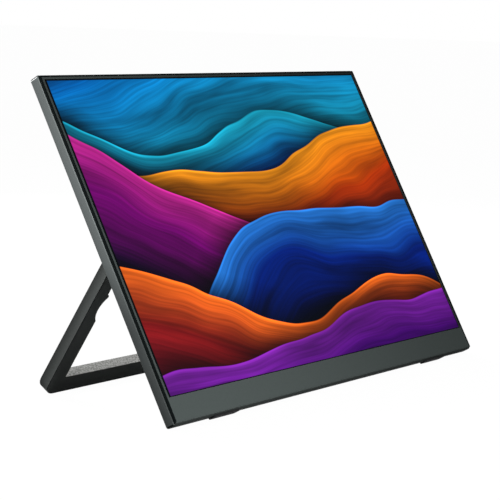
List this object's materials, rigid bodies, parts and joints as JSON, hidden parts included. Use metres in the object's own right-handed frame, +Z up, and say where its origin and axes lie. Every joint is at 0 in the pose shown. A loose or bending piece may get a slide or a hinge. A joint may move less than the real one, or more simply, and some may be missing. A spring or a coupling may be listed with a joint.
{
  "type": "portable monitor",
  "caption": "Slim portable monitor that leans back on a fold-out U-shaped stand, with sockets and buttons on one edge and rubber feet below.",
  "frame": {"origin": "on the table, under the middle of the box that holds the part as it stands open", "axes": "+X to the viewer's right along the stand's hinge axis, +Y away from the viewer, +Z up; the screen faces -Y and leans back"},
  "size_m": [0.3526, 0.1342, 0.2079],
  "materials": {
    "casing_metal": "fine matte, anodised dark grey",
    "rim_black": "satin black",
    "bezel_grey": "fine matte dark grey",
    "screen_film": "smooth film over a lit picture",
    "foam_black": "soft black foam",
    "cell_glass": "clear thin glass",
    "sheet_white": "white sheet",
    "guide_clear": "clear polished acrylic",
    "tray_steel": "thin plated sheet",
    "board_green": "solder-resist green",
    "lamp_yellow": "phosphor yellow",
    "flex_amber": "amber film",
    "cable_white": "flat white flex",
    "chip_black": "moulded black",
    "shield_steel": "plated sheet",
    "can_aluminium": "drawn cans",
    "screw_steel": "turned steel",
    "tongue_black": "moulded black",
    "button_grey": "fine matte dark grey",
    "driver_black": "paper cone in a moulded frame",
    "foot_rubber": "soft matte black",
    "stand_metal": "fine textured dark grey"
  },
  "bodies": {
    "head": {"rear_cover": "casing_metal", "front_rim": "rim_black", "front_bezel": "bezel_grey", "polarizer_film": "screen_film", "panel_gasket": "foam_black", "front_glass": "cell_glass", "rear_glass": "cell_glass", "diffuser_sheets": "sheet_white", "light_guide": "guide_clear", "reflector_sheet": "sheet_white", "panel_tray": "tray_steel", "led_strip": "board_green", "led_chips": "lamp_yellow", "timing_board": "board_green", "panel_flexes": "flex_amber", "main_board": "board_green", "scaler_chip": "chip_black", "shield_can": "shield_steel", "board_capacitors": "can_aluminium", "board_screws": "screw_steel", "port_screws": "screw_steel", "hinge_screws": "screw_steel", "panel_cable": "cable_white", "port_cable": "cable_white", "port_board": "board_green", "usb_port_shells": "shield_steel", "usb_port_tongues": "tongue_black", "hdmi_port_shell": "shield_steel", "hdmi_port_tongue": "tongue_black", "rocker_pin": "screw_steel", "tact_switches": "chip_black", "left_speaker_box": "chip_black", "right_speaker_box": "chip_black", "left_speaker_driver": "driver_black", "right_speaker_driver": "driver_black", "left_foot": "foot_rubber", "right_foot": "foot_rubber", "left_hinge_bracket": "shield_steel", "right_hinge_bracket": "shield_steel"},
    "stand": {"stand_frame": "stand_metal", "left_hinge_shaft": "screw_steel", "left_friction_washers": "screw_steel", "left_hinge_collar": "screw_steel", "right_hinge_shaft": "screw_steel", "right_friction_washers": "screw_steel", "right_hinge_collar": "screw_steel"},
    "power_button": {"power_button": "button_grey"},
    "menu_rocker": {"menu_rocker": "button_grey"}
  },
  "joints": [
    {"name": "stand_hinge", "type": "hinge", "parent": "head", "child": "stand", "pos_m": [0, 0.00144, 0.10046], "axis": [1, 0, 0], "range_deg": [-62, 28]},
    {"name": "power_press", "type": "slide", "parent": "head", "child": "power_button", "axis": [-1, 0, 0], "range_m": [0, 0.0005], "stiffness_N_per_m": 1500, "springref_m": -0.0002},
    {"name": "menu_tilt", "type": "hinge", "parent": "head", "child": "menu_rocker", "pos_m": [0.17325, 0.00012, 0.11271], "axis": [0, -0.8693, 0.4943], "range_deg": [-1.8, 1.8], "stiffness_Nm_per_rad": 0.1}
  ]
}
